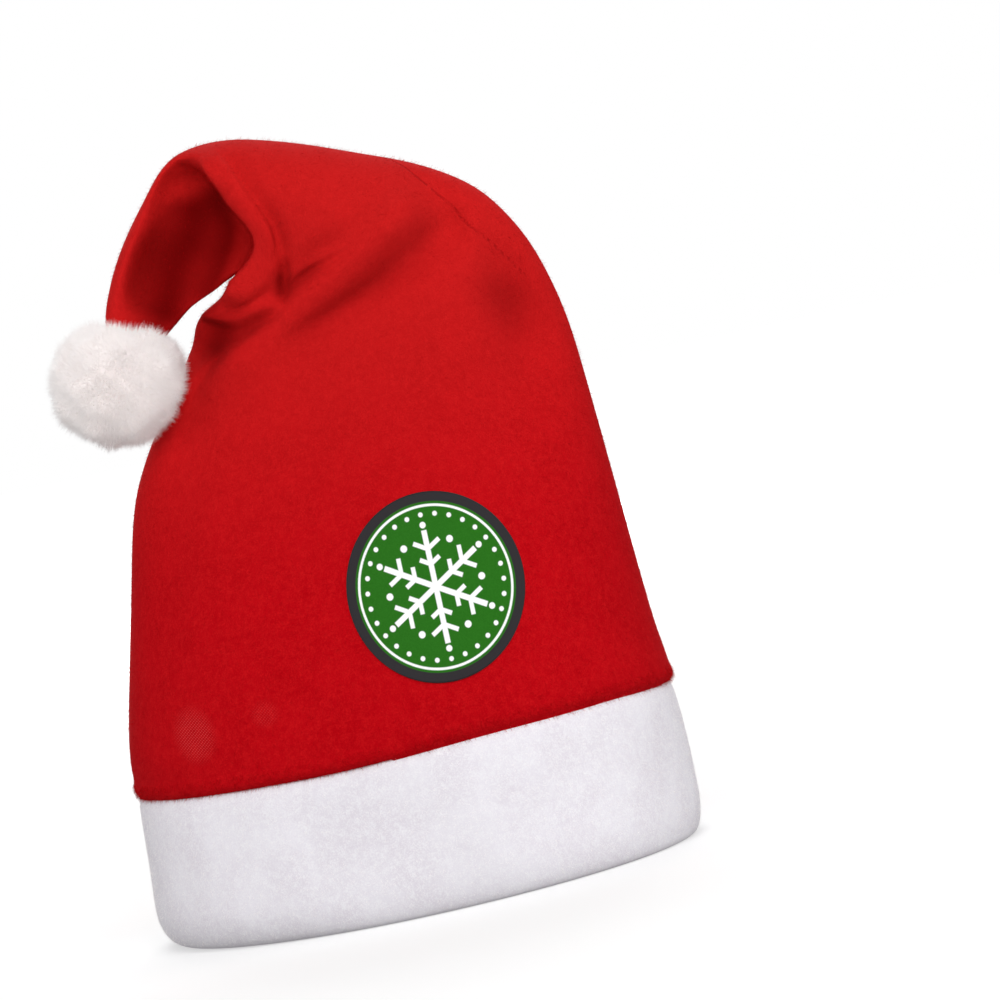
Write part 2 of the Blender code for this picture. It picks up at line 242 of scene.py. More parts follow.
def sewn(tree, colour, height, shade):
    """Darkens and sinks the cloth along the seams that the mesh keeps."""
    gap = tree.kept("seam_gap")
    line = gap.below(SEAM_HALF, SEAM_HALF * 0.8)
    pull = gap.below(SEAM_PULL, SEAM_PULL * 0.9)
    return tree.mix(line * 0.4, colour, shade), height - line * 1.4 - pull * 0.8


# %% [markdown]
# Red felt loses its nap where it has been rubbed. Two such places show low on the left:
# the knitted ground comes through as a grid of dots a millimetre apart. The grid is two
# waves across each other, seen only inside a soft oval. Higher up, a painted sheen makes
# the red warmer and lighter. In the deep places of the fold, which the mesh keeps as a
# number like the seams, shade is painted in, and the red goes dark.

# %% The red of the crown
WORN_PLACES = [
    # x and z in metres, half width, half height, strength
    (-0.0650, 0.0730, 0.0080, 0.0105, 0.85),
    (-0.0400, 0.0760, 0.0055, 0.0050, 0.35),
]
KNIT_PITCH = 1.05 * MM
PAINTED_SHEEN_FROM, PAINTED_SHEEN_TO = 0.10, 0.23
RED_WORN = rgb(226, 92, 92)
RED_PAINTED_SHEEN = rgb(204, 40, 34)
RED_PAINTED_SHADE = rgb(98, 0, 1)
RED_SEAM = rgb(120, 0, 4)

red, red_colour, red_height = felt(
    "red_felt", rgb(170, 1, 12), rgb(178, 3, 15), rgb(192, 16, 22), sheen=0.0
)
across, along, up = red.split(red.place())
wave = 2 * math.pi / KNIT_PITCH
dots = (across * wave).math("SINE") * ((up + across * 0.15) * wave).math("SINE")
worn = None
for x, z, half_width, half_height, strength in WORN_PLACES:
    wide, tall = (across - x) / half_width, (up - z) / half_height
    spot = (wide * wide + tall * tall).math("SQRT").below(0.75, 0.35) * strength
    worn = spot if worn is None else worn.higher(spot)
worn = worn * along.below(0, 10 * MM)
red_colour = red.mix(worn * dots.within(0.0, 0.7) * 0.45, red_colour, RED_WORN)
red_height = red_height - worn * 0.3 + worn * dots * 0.25
# Painted sheen: from the middle of the crown upwards the red is mixed towards a warmer, lighter
# red.
painted_sheen = up.within(PAINTED_SHEEN_FROM, PAINTED_SHEEN_TO)
red_colour = red.mix(painted_sheen * 0.4, red_colour, RED_PAINTED_SHEEN)
# Painted shade: the red goes towards a dark red where the mesh keeps a high 'deep', in the creases
# and hollows of the fold.
red_colour = red.mix(red.kept("deep") * 0.95, red_colour, RED_PAINTED_SHADE)
red_colour, red_height = sewn(red, red_colour, red_height, RED_SEAM)
red.colour(red_colour)
red.bump(red_height, 0.28 * MM, 0.6)
print("red felt has", len(red.nodes), "nodes")

# %% [markdown]
# The cuff is the same felt in white. White cloth is never pure white: its shades lean a
# little towards violet, and a trace of sheen lifts the nap where it is seen edge on.

# %% The white of the cuff
WHITE_SEAM = rgb(196, 190, 198)

white, white_colour, white_height = felt(
    "white_felt", rgb(224, 218, 226), rgb(232, 228, 235), rgb(240, 238, 242), sheen=0.05
)
white_colour, white_height = sewn(white, white_colour, white_height, WHITE_SEAM)
white.colour(white_colour)
white.bump(white_height, 0.25 * MM, 0.5)
print("white felt has", len(white.nodes), "nodes")

# %% [markdown]
# Modelling starts with the crown. The frame's crown has the right folds, but it is made of
# loose flat triangles. A copy of it has its doubled points merged and its triangles paired
# into quads, and then a subdivision surface rounds every fold, as pulling cloth taut would.
# Operators act on whatever is selected, so each helper clears the selection first.

# %% Helpers that select, copy and finish
def only(piece):
    """Selects this piece and nothing else."""
    if bpy.context.object and bpy.context.object.mode != "OBJECT":
        bpy.ops.object.mode_set(mode="OBJECT")
    bpy.ops.object.select_all(action="DESELECT")
    piece.select_set(True)
    bpy.context.view_layer.objects.active = piece


def merged_copy(node, name):
    """A copy of a node of the frame, with its triangles joined up into quads."""
    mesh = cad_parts[node].data.copy()
    mesh.materials.clear()
    piece = bpy.data.objects.new(name, mesh)
    bpy.context.scene.collection.objects.link(piece)
    only(piece)
    bpy.ops.mesh.customdata_custom_splitnormals_clear()
    bpy.ops.object.mode_set(mode="EDIT")
    bpy.ops.mesh.select_all(action="SELECT")
    bpy.ops.mesh.remove_doubles(threshold=0.01 * MM)
    bpy.ops.mesh.tris_convert_to_quads()
    bpy.ops.object.mode_set(mode="OBJECT")
    bpy.ops.object.shade_smooth()
    return piece


def modify(piece, kind, **settings):
    """Adds a modifier and applies it at once."""
    only(piece)
    modifier = piece.modifiers.new(kind.lower(), kind)
    for key, value in settings.items():
        setattr(modifier, key, value)
    bpy.ops.object.modifier_apply(modifier=modifier.name)


def read(items, key, width=3):
    """One property of many points or faces, as an array."""
    values = np.empty(len(items) * width, np.float32)
    items.foreach_get(key, values)
    return values.reshape(-1, width).astype(float) if width > 1 else values.astype(float)


def set_points(piece, points):
    piece.data.vertices.foreach_set("co", points.astype(np.float32).ravel())
    piece.data.update()


def keep(piece, name, values):
    """Keeps one number at each point of the mesh, under a name."""
    kept = piece.data.attributes.get(name) or piece.data.attributes.new(name, "FLOAT", "POINT")
    kept.data.foreach_set("value", np.asarray(values, np.float32))


def unit(vectors):
    return vectors / np.maximum(np.linalg.norm(vectors, axis=1, keepdims=True), 1e-12)


def finish_piece(piece, tree, slot, *nodes):
    """Gives a piece its material and its body, and hides the solids it stands for. The slot is not
    used.
    """
    piece.data.materials.clear()
    piece.data.materials.append(tree.material)
    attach(piece, "root")
    if nodes:
        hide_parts(*nodes)
    piece.data.calc_loop_triangles()
    print(piece.name, "has", len(piece.data.loop_triangles), "triangles")


# %% [markdown]
# The crown is one closed wall: the outside, the lining, and a hem that joins them at the
# bottom. Later steps treat only the outside, so it is marked now, while the mesh is small.
# A number is given to every point, and neighbours take the lower one again and again
# until two even groups are left. Lines along the hem don't count as neighbours.

# %% The outside of the crown
def mark_outside(piece):
    """Keeps 1 on the outer wall and 0 on the lining. They only meet along the hem."""
    points = read(piece.data.vertices, "co")
    at_hem = points[:, 2] < points[:, 2].min() + 0.2 * MM
    pairs = np.array([edge.vertices[:] for edge in piece.data.edges])
    pairs = pairs[~at_hem[pairs].all(axis=1)]
    group = np.arange(len(points))
    settled = False
    while not settled:
        before = group.copy()
        least = np.minimum(group[pairs[:, 0]], group[pairs[:, 1]])
        np.minimum.at(group, pairs[:, 0], least)
        np.minimum.at(group, pairs[:, 1], least)
        group = group[group]
        settled = (group == before).all()
    keep(piece, "outside", group == group[points[:, 0].argmax()])
    print(piece.name, "has", len(np.unique(group)), "walls")


crown = merged_copy("crown", "crown_cloth")
mark_outside(crown)
modify(crown, "SUBSURF", levels=2, render_levels=2)
print("crown has", len(crown.data.polygons), "faces")

# %% [markdown]
# Sharp creases need small faces. Only the front of the fold has them, so only its faces
# are cut in four again, chosen by their place and by the way they look.

# %% Finer faces over the fold
# limits of the fold in metres, and how much its faces look to the front, -1 being straight
FOLD_LOW, FOLD_RIGHT, FOLD_BACK = 0.180, 0.050, 0.004
FOLD_LOOKS = -0.22


def select_faces(piece, chosen):
    """Opens the piece in edit mode with only these faces selected."""
    only(piece)
    bpy.ops.object.mode_set(mode="EDIT")
    bpy.ops.mesh.select_mode(type="FACE")
    bpy.ops.mesh.select_all(action="DESELECT")
    bpy.ops.object.mode_set(mode="OBJECT")
    piece.data.polygons.foreach_set("select", chosen)
    bpy.ops.object.mode_set(mode="EDIT")


centres = read(crown.data.polygons, "center")
looks = read(crown.data.polygons, "normal")
outside = read(crown.data.attributes["outside"].data, "value", 1)
outer_face = np.array([outside[face.vertices[0]] > 0.5 for face in crown.data.polygons])
fold = outer_face & (centres[:, 2] > FOLD_LOW) & (centres[:, 0] < FOLD_RIGHT)
fold &= (centres[:, 1] < FOLD_BACK) & (looks[:, 1] < FOLD_LOOKS)
select_faces(crown, fold)
bpy.ops.mesh.subdivide(number_cuts=1)
bpy.ops.object.mode_set(mode="OBJECT")
print("crown has", len(crown.data.polygons), "faces,", int(fold.sum()), "of them cut in four")

# %% [markdown]
# Left of the fold the tip turns back and leaves a deep pocket. On the real hat its wall is
# so steep that it can't be seen from the front, and the frame's wall slopes. So the wall is
# pulled together: near its line the cloth is squeezed sideways onto the line where the
# pocket's edge is seen, and what lies beside it stretches to fill the room.

# %% The pocket's steep wall
WALL_LINE = [
    # height in mm, x of the wall's middle in the frame, x of the edge as it is seen
    (209, -27, -27.5), (212, -25, -26), (218, -21, -22.5), (222, -18.8, -16.5),
    (225, -17.2, -13), (228, -16.5, -11.4), (232, -16.2, -10.8), (236, -16.6, -11.8),
    (240, -17.3, -14.6), (244, -18.6, -17.2), (248, -20, -18.6), (255, -22.8, -22),
    (261, -25, -25),
]
# what is left of a distance to the line, then how far from it the cloth is carried along
# whole and at all, how far it is squeezed, and where it all ends, in mm
WALL_SQUEEZE = 0.28
WALL_CORE, WALL_REACH = 2.0, 15.0
SQUEEZE_CORE, SQUEEZE_EASE = 3.0, 9.0
WALL_LOW, WALL_HIGH, WALL_EASE = 209.0, 262.0, 6.0
WALL_BACK = 6.0


def smooth(share):
    share = np.clip(share, 0, 1)
    return share * share * (3 - 2 * share)


points = read(crown.data.vertices, "co")
x, y, z = (points / MM).T
heights, wall_now, wall_seen = np.array(WALL_LINE).T
now, edge = np.interp(z, heights, wall_now), np.interp(z, heights, wall_seen)
off = x - now
apart = np.abs(off)
carried = (edge - now) * (1 - smooth((apart - WALL_CORE) / (WALL_REACH - WALL_CORE)))
slack = smooth((apart - SQUEEZE_CORE) / SQUEEZE_EASE)
squeezed = off * (WALL_SQUEEZE + (1 - WALL_SQUEEZE) * slack) - off
window = smooth((z - WALL_LOW) / WALL_EASE) * smooth((WALL_HIGH - z) / WALL_EASE)
window *= (y < WALL_BACK) & (apart < WALL_REACH)
shift = (carried + squeezed) * window
points[:, 0] += shift * MM
set_points(crown, points)
print("the wall moved by up to", round(float(np.abs(shift).max()), 1), "mm")

# %% [markdown]
# The folds need sharper lines than the frame has. Each crease is a line of points as seen
# from the front, and the cloth near it is moved along its own normal. A groove with two
# walls looks like two dark lines in soft light, and a crease in cloth is one dark line: one
# side lies over the other. So each line has a height for its left and for its right, with a
# short wall between them. Where both are the same it is a round ridge or a hollow.

# %% Where the creases run
CREASES = [
    # height in mm left and right of the line as it is drawn, how far each reaches in mm, how
    # much of the line fades out at each end, then (x, z) in mm along the line
    ("roll crease", (-1.0, 1.1), (4.0, 4.5), 0.18, [
        (-19.1, 263.3), (-16.4, 260.1), (-14.2, 256.1), (-12.6, 252.6), (-10.8, 248.4),
        (-9.3, 244.7), (-7.5, 240.8), (-5.7, 236.6), (-4.4, 232), (-3.7, 227.4), (-3.8, 222.6),
        (-4.4, 218.1), (-5.1, 214.3), (-5.9, 210.6), (-6.5, 206)]),
    ("cleft", (-1.8, 0.8), (3.0, 4.0), 0.25, [
        (-4.2, 223), (-4.5, 217.3), (-5.2, 213.7), (-6.0, 210.1), (-6.6, 205)]),
    ("roll ridge", (1.8, 1.8), (3.2, 3.2), 0.18, [
        (-27, 260), (-20.1, 257.4), (-16.7, 251.5), (-13.5, 243.9), (-10, 237.1), (-7.3, 231),
        (-7.5, 224), (-10.7, 216.6), (-15.8, 212.6), (-22.7, 210.4), (-30, 210.4)]),
    ("lobe edge", (1.2, -2.6), (4.0, 5.5), 0.2, [
        (-36, 209), (-31.2, 207), (-27, 204.6), (-22, 203.6), (-16, 204.6), (-11, 205.6),
        (-5.4, 206.2)]),
    ("under the lobe", (-1.4, -1.4), (5.5, 5.0), 0.4, [
        (-36, 190), (-33.2, 194.3), (-30.8, 198.4), (-27, 200.9), (-21, 201.6), (-14, 203)]),
    ("tail hollow", (-3.6, -3.6), (7.5, 7.5), 0.3, [
        (-53, 212), (-50.4, 219), (-44.5, 229.5), (-38.3, 238.6), (-31, 246.5)]),
    ("short valley", (0.6, -1.2), (3.0, 3.6), 0.35, [
        (-6.4, 208), (-4.4, 211.1), (-0.3, 213.9), (4.3, 216.0), (8.7, 217.4), (13.4, 218.8),
        (18.5, 220.1), (24, 221.4)]),
    ("long ridge", (2.7, 2.7), (4.5, 6.5), 0.25, [
        (-42, 182.6), (-38.3, 184.8), (-33, 187.1), (-27.4, 189.3), (-21.9, 190.8), (-15, 193),
        (-9.3, 196.5), (-3, 200), (3, 203), (10, 205.7), (16.5, 208.7), (21.8, 212.2),
        (26.4, 216), (30.2, 220.4), (33.9, 224.4), (37.5, 229), (41, 234.5), (44, 240)]),
    ("side crease", (-0.9, 0.5), (4.0, 4.0), 0.4, [
        (-27, 196), (-29.2, 195.3), (-33.8, 192.9), (-37.2, 190.2), (-41.0, 187.0),
        (-44.2, 183.2), (-47.3, 178.7), (-49.7, 170.7), (-53.2, 158)]),
    ("shoulder dent", (-2.2, -2.2), (13.0, 9.0), 0.5, [
        (62, 216), (66, 207), (70, 196), (72.5, 184), (74, 170), (75, 158)]),
]

# %% [markdown]
# Creases are darkened a second time by painted shade: along these lines the red is painted
# darker, on top of the shading the lamps give. These places are lines of the same kind, and they
# change the colour alone.

# %% Where shade is painted into the red
PAINTED_SHADE_PLACES = [
    # how dark the painted shade makes the red, its reach in mm left and right of the line, how
    # much of the line fades out at each end, then (x, z) in mm along the line
    ("inside of the tail", 0.95, 9.0, 9.5, 0.2, [
        (-47.3, 200), (-46.2, 209), (-43.5, 217.5), (-39.2, 226.9), (-33.5, 234.5),
        (-30.5, 240), (-29, 247), (-29, 253)]),
    ("under the roll", 0.75, 7.0, 3.0, 0.2, [
        (-36, 208), (-30, 217), (-23.5, 226), (-19, 236), (-21, 246), (-24, 254)]),
    ("under the lobe", 0.85, 6.0, 5.5, 0.4, [
        (-38.5, 186), (-34.8, 193), (-31.8, 198.5), (-29.6, 202.5), (-27, 206.5), (-24, 210)]),
    ("wedge", 0.45, 2.4, 3.0, 0.4, [
        (-26, 201.6), (-20, 202.2), (-14, 203.6), (-8, 205)]),
    ("cleft", 0.6, 2.0, 2.2, 0.4, [
        (-4.2, 221), (-4.9, 217), (-5.4, 213), (-6, 209.5), (-6.6, 205.4)]),
    ("short valley", 0.45, 2.6, 2.8, 0.4, [
        (-6.4, 206.7), (-4.4, 210.7), (-0.3, 213.2), (4.3, 215.4), (8.7, 216.9), (14, 218.6)]),
    ("long valley", 0.28, 4.6, 5.6, 0.3, [
        (-14.1, 192.0), (-8.2, 194.1), (-2.1, 196.9), (3.8, 200.3), (10.8, 203.9),
        (17.8, 206.2), (25.0, 207.3), (31.7, 209.9), (37.8, 212.7), (42.7, 216.1),
        (45.2, 221.3), (46.2, 227.3), (46.8, 233.3)]),
    ("shoulder", 0.42, 10.0, 9.0, 0.5, [
        (64, 216), (67.7, 204.7), (68.6, 196.6), (70.4, 188.4), (71.6, 179.0), (73, 168)]),
]


# %% [markdown]
# To move the cloth near a line, each point has to know how far it lies from the line, on
# which side, and how far along. A smooth line through a few points is a Catmull-Rom curve:
# each stretch is a cubic that starts and ends in the direction of its neighbours.

# %% Distance to a line
def through(knots, steps=8):
    """A smooth line through its knots."""
    knots = np.array(knots, float)
    ends = np.vstack([2 * knots[0] - knots[1], knots, 2 * knots[-1] - knots[-2]])
    line = []
    for a, b, c, d in zip(ends, ends[1:], ends[2:], ends[3:]):
        for t in np.arange(steps) / steps:
            cubic = (3 * b - a - 3 * c + d) * t + (2 * a - 5 * b + 4 * c - d)
            line.append(b + 0.5 * t * ((c - a) + t * cubic))
    return np.vstack([line, knots[-1]])


def nearest_on(line, spots):
    """Distance of many spots to a line, their place along it from 0 to 1, and the step there."""
    best = np.full(len(spots), np.inf)
    place = np.zeros(len(spots))
    for i, (start, end) in enumerate(zip(line, line[1:])):
        along = end - start
        share = np.clip((spots - start) @ along / max(along @ along, 1e-12), 0, 1)
        gap = np.linalg.norm(spots - (start + share[:, None] * along), axis=1)
        closer = gap < best
        best[closer], place[closer] = gap[closer], (i + share[closer]) / (len(line) - 1)
    return best, place, np.minimum(place * (len(line) - 1), len(line) - 1.001).astype(int)


def bell_along(knots, spots, widths, fade):
    """How near spots are to a line, from 0 to 1, and their signed distance, left being plus."""
    line = through(knots)
    gap, place, step = nearest_on(line, spots)
    along, apart = line[step + 1] - line[step], spots - line[step]
    turned = np.sign(along[:, 0] * apart[:, 1] - along[:, 1] * apart[:, 0])
    bell = np.exp(-((gap / np.where(turned > 0, *widths)) ** 2))
    return bell * smooth(np.minimum(place, 1 - place) / fade), gap * turned


# %% [markdown]
# Now the cloth is moved. The step from one height to the other is a tanh, which is steep
# at the line and level away from it. Only cloth that looks to the front takes part. The
# lobe, the round end of the roll at the left, is pulled out sideways a little more.

# %% The creases are pressed in
# half the width of the step, and the lobe's middle, reach and way out, all in mm
STEP_HALF = 0.7
LOBE_AT, LOBE_REACH, LOBE_OUT = (-33.5, 206.5), 7.0, 2.6
FRONT_GAIN = 3.0

points, normals = read(crown.data.vertices, "co"), read(crown.data.vertices, "normal")
outside = read(crown.data.attributes["outside"].data, "value", 1)
front = np.clip(-normals[:, 1] * FRONT_GAIN, 0, 1) * (points[:, 1] < FOLD_BACK) * outside
spots = points[:, [0, 2]] / MM
moves = np.zeros_like(points)
for _, heights, widths, fade, knots in CREASES:
    bell, side = bell_along(knots, spots, widths, fade)
    left = 0.5 + 0.5 * np.tanh(side / STEP_HALF)
    height = heights[0] * left + heights[1] * (1 - left)
    moves += normals * (bell * front * height * MM)[:, None]
lobe = np.exp(-((spots - LOBE_AT) ** 2).sum(axis=1) / LOBE_REACH**2)
moves[:, 0] -= lobe * LOBE_OUT * MM * outside

# %% [markdown]
# The wall is under two millimetres thick and some creases are deeper, so the outside alone
# would sink through the lining. Each point of the lining takes the move of the outer point
# nearest to it. A KD tree finds that point quickly among thousands.

# %% The lining goes along
LINING_REACH = 3.5 * MM
LINING_LOW = FOLD_LOW - 0.04
LEAST_MOVE = 0.02 * MM

moved = np.flatnonzero((outside > 0.5) & (np.abs(moves).max(axis=1) > LEAST_MOVE))
outer_points = KDTree(len(moved))
for i in moved:
    outer_points.insert(points[i], int(i))
outer_points.balance()
for i in np.flatnonzero((outside < 0.5) & (points[:, 2] > LINING_LOW)):
    _, nearest, gap = outer_points.find(points[i])
    if gap < LINING_REACH:
        moves[i] = moves[nearest]
print(len(moved), "outer points moved, and the lining's with them")
points += moves
set_points(crown, points)

# Painted shade: how dark each point is painted, from the lines above, only where the cloth looks
# to the front. The mesh keeps it as 'deep'.
deep = np.zeros(len(points))
for _, strength, left_reach, right_reach, fade, knots in PAINTED_SHADE_PLACES:
    bell, _ = bell_along(knots, spots, (left_reach, right_reach), fade)
    deep = 1 - (1 - deep) * (1 - strength * bell * front)
keep(crown, "deep", deep)
print(len(CREASES), "creases and", len(PAINTED_SHADE_PLACES), "deep places")

# %% [markdown]
# The crown is two triangles of felt, sewn together along both sides. The seams run up the
# two sides; near the top the hat has been twisted a little, so the right-hand seam comes
# round to the front at the shoulder and the left-hand one goes in behind the fold. A seam
# is drawn as a few points in space, and each point between them drops onto the cloth.

# %% The side seams
NO_SEAM = 20 * MM
SEAMS = [
    # (x, z) in mm as seen from the front, or (x, y, z) where the front doesn't show it
    [(-92, 0, 46), (-88, 0, 70), (-84, 2, 95), (-78, 2, 120), (-68, 2, 145), (-59, 2, 165),
     (-50, 3, 185), (-42, 5, 200), (-33, 8, 215), (-22, 10, 228)],
    [(94, 0, 46), (90, 0, 80), (86, 0, 120), (82, 0, 160), (76, -6, 190), (69, -14, 208),
     (61.1, 218.5), (56.9, 226), (51.6, 233), (46.2, 240), (40.6, 245.7), (35.2, 249.3),
     (28, 4, 256), (18, 12, 258)],
]


def on_cloth(surface, spot):
    """Drops a point onto the cloth: straight back where only (x, z) is given."""
    hit = None
    if len(spot) == 2:
        x, z = spot
        hit = surface.ray_cast(Vector((x, -200, z)) * MM, Vector((0, 1, 0)))[0]
        spot = (x, 0, z)
    return hit or surface.find_nearest(Vector(spot) * MM)[0]


def surface_of(piece):
    return BVHTree.FromPolygons(
        [v.co for v in piece.data.vertices], [p.vertices[:] for p in piece.data.polygons]
    )


crown_surface = surface_of(crown)
gap = np.full(len(points), NO_SEAM)
for knots in SEAMS:
    line = through([on_cloth(crown_surface, spot) for spot in knots], 6)
    line = np.array([crown_surface.find_nearest(Vector(spot))[0] for spot in line])
    gap = np.minimum(gap, nearest_on(line, points)[0])
keep(crown, "seam_gap", np.where(outside > 0.5, gap, NO_SEAM))
finish_piece(crown, red, "crown_felt", "crown")

# %% [markdown]
# The seam between cuff and crown isn't quite level: it climbs by two millimetres towards
# the right of the front. Both pieces are moved by the same soft field, so they stay together.
# The lower edge of the red is then drawn out and down a little: the crown hangs over the
# cuff like a lip, and no gap shows above the white.

# %% The seam between crown and cuff
SEAM_CLIMB = 2.0 * MM
# in mm: the seam's height and how far the climb reaches above and below it, then where each
# change starts along x or y and how long it takes
SEAM_AT, SEAM_REACH = 54.0, 16.0
CLIMB_FROM, CLIMB_OVER = -30, 70
FALL_FROM, FALL_OVER, FALL_SHARE = 70, 26, 0.6
BACK_FROM, BACK_OVER = 5, 40
HEM_TOP = 53.7 * MM
LIP_FROM, LIP_OVER = 60 * MM, 6 * MM
LIP_OUT = 1.3 * MM
LIP_DOWN = 1.2 * MM


def seam_climb(points):
    """How far the seam has climbed at each point: in front, and most right of the middle."""
    x, y = points[:, 0] / MM, points[:, 1] / MM
    climbed = smooth((x - CLIMB_FROM) / CLIMB_OVER)
    fallen = FALL_SHARE * smooth((x - FALL_FROM) / FALL_OVER)
    return SEAM_CLIMB * climbed * (1 - fallen) * smooth((BACK_FROM - y) / BACK_OVER)


def lift_seam(piece):
    """Moves a piece's points near the seam up with it."""
    points = read(piece.data.vertices, "co")
    at_seam = np.exp(-(((points[:, 2] / MM - SEAM_AT) / SEAM_REACH) ** 2))
    points[:, 2] += at_seam * seam_climb(points)
    set_points(piece, points)


lift_seam(crown)
points = read(crown.data.vertices, "co")
at_lip = outside * smooth((LIP_FROM - points[:, 2]) / LIP_OVER) * (points[:, 2] > HEM_TOP)
points[:, :2] += unit(points * (1, 1, 0))[:, :2] * (at_lip * LIP_OUT)[:, None]
points[:, 2] -= at_lip * LIP_DOWN
set_points(crown, points)

# %% [markdown]
# The cuff is the same felt in white, doubled over a soft edge. A copy of the frame's band is
# rounded in the same way, and then low, wide waves are pressed into it, because a strip of
# cloth never hangs as evenly as a pipe. Its own seam is at the back.

# %% The white cuff
CUFF_WAVES = [
    # height in mm, waves round the rim, start, climb per rim height
    (0.45, 5, 0.6, 1.1), (0.30, 9, 2.1, -1.7), (0.18, 17, 4.0, 2.6),
]
BACK_SEAM_X = 12 * MM

cuff = merged_copy("cuff", "cuff_band")
modify(cuff, "SUBSURF", levels=3, render_levels=3)
points, normals = read(cuff.data.vertices, "co"), read(cuff.data.vertices, "normal")
turn = np.arctan2(points[:, 1], points[:, 0])
cuff_top = points[:, 2].max()
rise = points[:, 2] / cuff_top
wave = sum(h * np.sin(n * turn + start + climb * rise) for h, n, start, climb in CUFF_WAVES)
outward = np.einsum("ij,ij->i", normals[:, :2], points[:, :2])
facing_out = np.clip(outward / np.linalg.norm(points[:, :2], axis=1), 0, 1)
middle = np.sin(np.pi * np.clip(rise, 0, 1))
points += normals * (wave * facing_out * middle * MM)[:, None]
set_points(cuff, points)
lift_seam(cuff)
at_back = np.where(points[:, 1] > 0, np.abs(points[:, 0] - BACK_SEAM_X), NO_SEAM)
keep(cuff, "seam_gap", np.where(facing_out > 0.3, at_back, NO_SEAM))
finish_piece(cuff, white, "cuff_felt", "cuff")

# %% [markdown]
# The round print on the front is a thin film: a dark rim round a green disc, with a plain
# six-armed snowflake in a ring of dots. The disc starts as a grid, because a grid has even
# faces to bend over the cloth: the square is pressed into a round, and each point then
# drops straight back onto the crown.

# %% The film on the front
FILM_CUTS = 72
FILM_OFF = 0.30 * MM
FILM_THICK = 0.18 * MM
DROP_FROM = 50 * MM

low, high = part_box("front_badge")
film_middle = [(low[0] + high[0]) / 2, (low[2] + high[2]) / 2]
film_half = [(high[0] - low[0]) / 2, (high[2] - low[2]) / 2]
bpy.ops.object.select_all(action="DESELECT")
bpy.ops.mesh.primitive_grid_add(x_subdivisions=FILM_CUTS, y_subdivisions=FILM_CUTS, size=2)
film = bpy.context.object
film.name = "badge_film"
points = read(film.data.vertices, "co")
u, v = points[:, 0].copy(), points[:, 1].copy()
disc_u, disc_v = u * np.sqrt(1 - v * v / 2), v * np.sqrt(1 - u * u / 2)
film_uv = film.data.uv_layers.active.data
corners = np.array([loop.vertex_index for loop in film.data.loops])
film_uv.foreach_set("uv", np.column_stack([disc_u, disc_v])[corners].astype(np.float32).ravel())
points[:, 0] = film_middle[0] + disc_u * film_half[0]
points[:, 2] = film_middle[1] + disc_v * film_half[1]
ahead = low[1] - DROP_FROM
crown_surface = surface_of(crown)
for i, (x, y, z) in enumerate(points):
    hit = crown_surface.ray_cast(Vector((x, ahead, z)), Vector((0, 1, 0)))[0]
    points[i, 1] = hit.y - FILM_OFF
set_points(film, points)
only(film)
bpy.ops.object.mode_set(mode="EDIT")
bpy.ops.mesh.select_all(action="SELECT")
bpy.ops.mesh.normals_make_consistent(inside=False)
bpy.ops.object.mode_set(mode="OBJECT")
if film.data.polygons[0].normal.y > 0:
    film.data.flip_normals()
modify(film, "SOLIDIFY", thickness=FILM_THICK, offset=1.0)
bpy.ops.object.shade_smooth()

# %% [markdown]
# The drawing is made of sums, so its edges stay sharp at any size. The angle round the
# middle is folded six times, which turns one arm of the snowflake into six. In the folded
# corner an arm is a bar, its branches are slanting bars, and a dot sits between two arms.
# All sizes here are shares of the film's half width.

# %% The drawing on the film
EDGE = 0.006
RIM_FROM = 0.895
LINE_AT, LINE_HALF = 0.855, 0.013
DOTS, DOTS_AT, DOT_HALF = 30, 0.765, 0.026
ARMS, ARM_HALF, ARM_END = 6, 0.030, 0.60
BRANCH_HALF, BRANCH_LEAN = 0.024, math.pi / 3
BRANCHES = [
    # where it starts on the arm, its length
    (0.24, 0.13), (0.40, 0.17),
]
FLAKE_DOTS = [
    # how far out, how far aside, half width
    (0.455, 0.263, 0.038), (0.655, 0.0, 0.034),
]
WHOLE_STEPS = 20


def bar(line_gap, along, half, start, end):
    """A bar around a line: near enough to it, and between two ends."""
    between_ends = along.within(start - EDGE, start + EDGE) * along.below(end, EDGE)
    return line_gap.below(half, EDGE) * between_ends


def dot(out, side, half):
    """A round dot, from the distances out and aside of its middle."""
    return (out * out + side * side).math("SQRT").below(half, EDGE)


def folded(angle, times):
    """The angle to the nearest of so many spokes. Whole steps first make it positive."""
    step = 2 * math.pi / times
    return abs((angle + WHOLE_STEPS * step).math("MODULO", step) - step / 2)


paint = Tree("badge_print", 0.65, Specular_IOR_Level=0.08)
uv = paint.add("ShaderNodeUVMap", {"uv_map": film.data.uv_layers.active.name})
x, y, _ = paint.split(uv)
radius = (x * x + y * y).math("SQRT")
angle = y.math("ARCTAN2", x)
arm_turn = folded(angle, ARMS)
out, side = radius * arm_turn.math("COSINE"), radius * arm_turn.math("SINE")
flake = bar(side, out, ARM_HALF, -0.1, ARM_END)
slant, lean = math.cos(BRANCH_LEAN), math.sin(BRANCH_LEAN)
for start, reach in BRANCHES:
    aside = abs((out - start) * lean - side * slant)
    ahead_of = (out - start) * slant + side * lean
    flake = flake.higher(bar(aside, ahead_of, BRANCH_HALF, -0.01, reach))
for dot_out, dot_side, half in FLAKE_DOTS:
    flake = flake.higher(dot(out - dot_out, side - dot_side, half))
dot_turn = folded(angle, DOTS)
dot_out, dot_side = radius * dot_turn.math("COSINE") - DOTS_AT, radius * dot_turn.math("SINE")
thin_line = abs(radius - LINE_AT).below(LINE_HALF, EDGE)
white_ink = flake.higher(dot(dot_out, dot_side, DOT_HALF)).higher(thin_line)
rim = radius.within(RIM_FROM - EDGE, RIM_FROM + EDGE)
grain = paint.noise(paint.place(), NAP_GRAIN, 2.0, 0.7)
